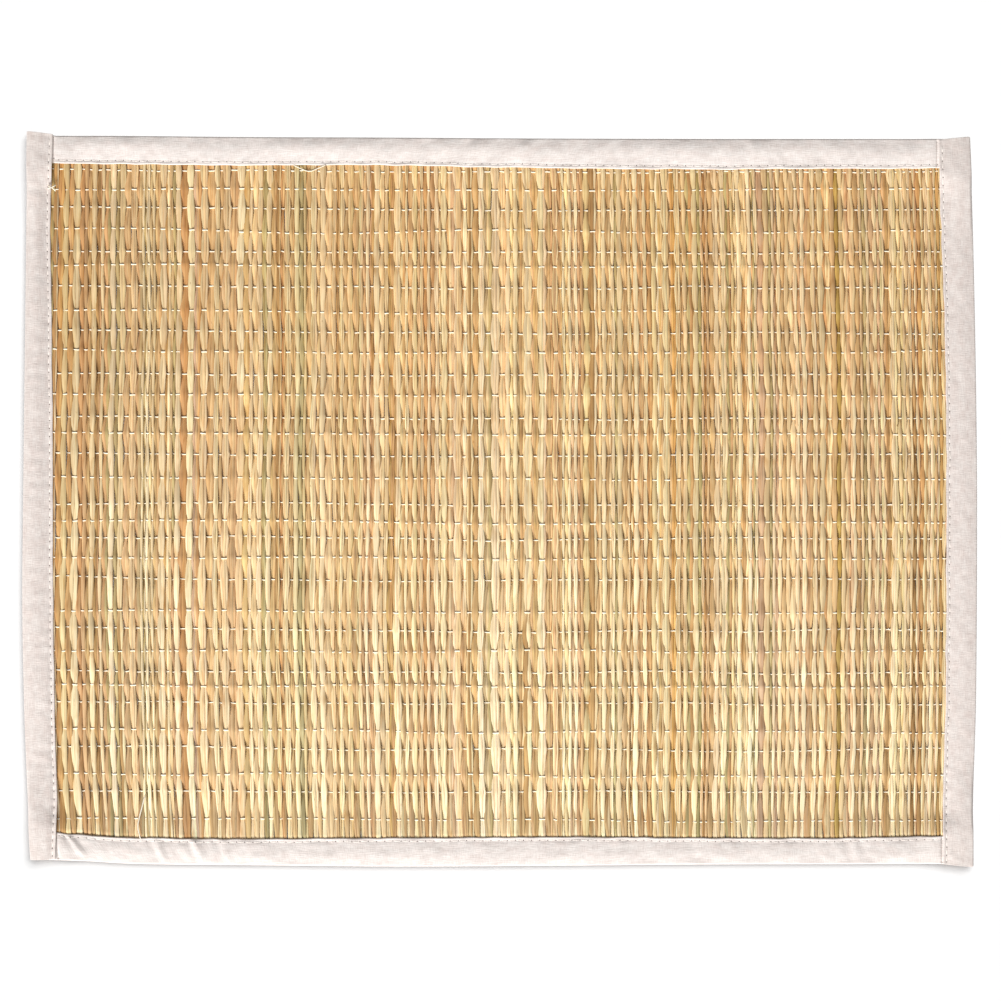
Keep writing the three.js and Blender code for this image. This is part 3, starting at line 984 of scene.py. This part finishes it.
def make_tape(tape, material):
    s = np.linspace(tape.low, tape.high, int((tape.high - tape.low) / TAPE_STEP))
    s = np.unique(np.concatenate([s, [tape.low + 0.15, tape.high - 0.15]]))
    if not tape.upright:
        near = np.array([-0.6, -0.25, 0, 0.25, 0.6])
        s = np.unique(np.concatenate([s, *(crease + near for crease in tape.creases())]))
    u, z, rings = tape_sections(tape, s)
    steps = np.hypot(np.diff(u, axis=1, prepend=u[:, :1]), np.diff(z, axis=1, prepend=z[:, :1]))
    along = np.broadcast_to(s[:, None], u.shape)
    own = np.full(u.shape, 10.0 * (tape.inward + 2 * tape.upright))
    place = np.stack([along, np.cumsum(steps, axis=1), own], axis=-1)
    if tape.mirrored:
        rings, place = rings[:, ::-1], place[:, ::-1]
    skins = Skins()
    skins.add(rings, tape_place=place)
    return skins.build(tape.name, material)


# A stitch's points: how far each is past its needle hole, and how high it lies over the tape's
# upper face and over its underside.
STITCH_ALONG = np.array([0.25, 0.7, 1.9, 3.1, 3.55])
STITCH_TOP = np.array([-0.3, -0.07, -0.03, -0.07, -0.3])
STITCH_UNDER = np.array([0.52, 0.22, 0.22, 0.22, 0.52])
HOLE_HEIGHTS = (0.07, -0.25)  # a needle hole's rim and bottom, over the upper face


def stitch_places(tape):
    """The needle holes' places along a tape."""
    count = int((tape.high - tape.low - STITCH["spare"]) / STITCH["length"])
    return tape.low + STITCH["first"] + np.arange(count) * STITCH["length"]


def add_stitches(skins, tape):
    """The lockstitches on both faces of a tape."""
    for hole in stitch_places(tape):
        s = hole + STITCH_ALONG
        u = tape.width(s) - TAPE["seam"]
        skins.add(tube(tape.place(s, u, tape.top(s, u) + STITCH_TOP), STITCH["radius"]))
        skins.add(tube(tape.place(s, u, tape.base(s) + STITCH_UNDER), STITCH["radius"] * 0.9))


def add_holes(skins, tape):
    """Small cups where the needle went through, dark with painted shade."""
    angles = np.arange(8) * math.tau / 8
    heights = HOLE_HEIGHTS[::-1] if tape.mirrored else HOLE_HEIGHTS
    for hole in stitch_places(tape):
        s = hole - 0.05 + STITCH["hole"] * np.cos(angles)
        u = tape.width(s) - TAPE["seam"] + STITCH["hole"] * np.sin(angles)
        skins.add(np.stack([tape.place(s, u, tape.top(s, u) + height) for height in heights]))


def make_sewing(tapes, thread, shade):
    stitches, holes = Skins(), Skins()
    for tape in tapes:
        add_stitches(stitches, tape)
        add_holes(holes, tape)
    return stitches.build("lockstitches", thread), holes.build("needle_holes", shade)


# Loose bits


def curve_through(points, count):
    """A smooth path through a few points."""
    points = np.asarray(points, float)
    at = np.arange(len(points), dtype=float)
    fine = np.linspace(0, len(points) - 1, count)
    columns = [line_at({"at": at, "value": column}, "value", fine) for column in points.T]
    return np.stack(columns, axis=-1)


# Each loose thread's radius, and the points that it runs through.
UNDER_TOP_TAPE = (
    0.22,
    [
        (-97.4, 157.6, 3.9), (-93.5, 155.8, 3.5), (-89.8, 154.7, 3.3),
        (-86.0, 156.0, 3.5), (-81.9, 157.7, 3.9),
    ],
)
BY_BOTTOM_TAPE = (
    0.3,
    [
        (-167.4, -139.7, 3.2), (-168.6, -144.6, 3.4), (-170.0, -150.2, 3.8),
        (-170.6, -154.2, 4.2), (-170.0, -157.6, 4.5), (-169.4, -160.1, 4.7),
    ],
)
# The knot on the left tape: its middle, and how far its arms reach to the right and up.
KNOT = (-211.2, 146.8, 5.3)
KNOT_ARMS = ((2.1, 1.5), (1.9, -1.7), (-1.7, 1.2), (-1.9, -0.5))
KNOT_RADIUS = 0.27


def make_loose_threads(material):
    """The knot on the left tape, and the stray threads beside the long tapes."""
    skins = Skins()
    for radius, points in (UNDER_TOP_TAPE, BY_BOTTOM_TAPE):
        skins.add(tube(curve_through(points, 24), radius))
    centre = np.array(KNOT)
    for reach_x, reach_y in KNOT_ARMS:
        bend = centre + (0.55 * reach_x, 0.4 * reach_y, 0.25)
        end = centre + (reach_x, reach_y, -0.45)
        skins.add(tube(curve_through([centre, bend, end], 8), KNOT_RADIUS))
    return skins.build("loose_threads", material)


# The room: lengths in metres, colours as light

KEY_LAMP = {"shape": "DISK", "size": 1.9, "energy": 243, "color": (1.0, 0.99, 0.975)}
KEY_PLACE = (-1.1, -2.95, 1.75)
FLOOR_LAMP = {"angle": math.radians(50), "energy": 5.15}
FLOOR_LAMP_PLACE = (0.55, 0.9, 2.4)
SURROUNDINGS = {"Color": (1.0, 0.995, 0.99, 1), "Strength": 0.34}
FLOOR = {"size": 30, "below": 0.0003}
CAMERA = {"lens": 100, "sensor_width": 36}


def add_lamp(name, kind, place, settings):
    """A lamp at a place in the room, aimed at the mat's middle."""
    light = bpy.data.lights.new(name, kind)
    for key, value in settings.items():
        setattr(light, key, value)
    lamp = bpy.data.objects.new(name, light)
    lamp.location = place
    way = -np.array(place)
    turn = math.atan2(way[1], way[0]) - math.pi / 2
    lamp.rotation_euler = (math.atan2(math.hypot(way[0], way[1]), -way[2]), 0, turn)
    bpy.context.scene.collection.objects.link(lamp)
    return lamp


def make_floor():
    below = (0, 0, -FLOOR["below"])
    bpy.ops.mesh.primitive_plane_add(size=FLOOR["size"], location=below)
    floor = bpy.context.object
    floor.name = "floor"
    floor.data.materials.append(floor_material())
    return floor


def make_room():
    """A white floor, white surroundings and a soft lamp at the near left, low above the floor.

    The photo's floor is cut out white: only a thin shade follows the left and near edges. So the
    floor has a wide even light of its own from the far right, and the key lamp leaves it out.
    """
    floor = make_floor()
    world = bpy.data.worlds.new("white room")
    world.use_nodes = True
    for socket, value in SURROUNDINGS.items():
        world.node_tree.nodes["Background"].inputs[socket].default_value = value
    bpy.context.scene.world = world
    key = add_lamp("key", "AREA", KEY_PLACE, KEY_LAMP)
    floor_lamp = add_lamp("floor lamp", "SUN", FLOOR_LAMP_PLACE, FLOOR_LAMP)
    for lamp, state in ((key, "EXCLUDE"), (floor_lamp, "INCLUDE")):
        group = bpy.data.collections.new(f"{lamp.name} and floor")
        group.objects.link(floor)
        group.collection_objects[0].light_linking.link_state = state
        lamp.light_linking.receiver_collection = group
    bpy.context.scene.view_settings.view_transform = "Standard"
    bpy.context.scene.view_settings.look = "None"


def add_camera():
    """Straight above the mat, framed as the photo is."""
    data = bpy.data.cameras.new("camera")
    data.lens, data.sensor_width = CAMERA["lens"], CAMERA["sensor_width"]
    wide = PHOTO["pixels"] * PHOTO["mm_per_pixel"]
    height = PANEL["thickness"] + wide * CAMERA["lens"] / CAMERA["sensor_width"]
    camera = bpy.data.objects.new("camera", data)
    camera.location = (PHOTO["middle_x"] * MM, PHOTO["middle_y"] * MM, height * MM)
    bpy.context.scene.collection.objects.link(camera)
    bpy.context.scene.camera = camera


def carry_threads(pieces):
    for piece in pieces:
        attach(piece, "root")


def make_weave(thread):
    """The rush and its warp threads. Gives the rush pieces."""
    rush_pieces = make_rush(rush_material())
    for piece in rush_pieces:
        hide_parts("woven_panel")
        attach(piece, "root")
    carry_threads(make_threads(thread))
    return rush_pieces


def make_binding(rush_pieces):
    """The tapes and their sewing."""
    long_cotton = tape_material("cotton tape of the long sides", (219, 211, 206), (235, 228, 224))
    # The ends' tape is the long sides' cotton made darker: painted shade.
    side_cotton_with_painted_shade = tape_material("cotton tape of the ends", (211, 201, 196), (227, 219, 214))
    tapes = (
        Tape("tape_top", TOP_LINES, upright=False, inward=-1, seed=31, puckers=TOP_PUCKERS),
        Tape("tape_bottom", BOTTOM_LINES, upright=False, inward=1, seed=41, puckers=BOTTOM_PUCKERS),
        Tape("tape_left", LEFT_LINES, upright=True, inward=1, seed=51, ends=LEFT_ENDS),
        Tape("tape_right", RIGHT_LINES, upright=True, inward=-1, seed=61, ends=RIGHT_ENDS),
    )
    for tape in tapes:
        piece = make_tape(tape, side_cotton_with_painted_shade if tape.upright else long_cotton)
        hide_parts(tape.name.replace("tape", "binding"))
        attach(piece, "root")
    sewing = thread_material("cotton sewing thread", (236, 226, 218), (248, 240, 232))
    carry_threads(make_sewing(tapes, sewing, hole_material()))


def main():
    add_camera()
    make_room()
    thread = thread_material("cotton warp thread", (234, 224, 202), (248, 242, 226))
    make_binding(make_weave(thread))
    carry_threads([make_loose_threads(thread)])


main()
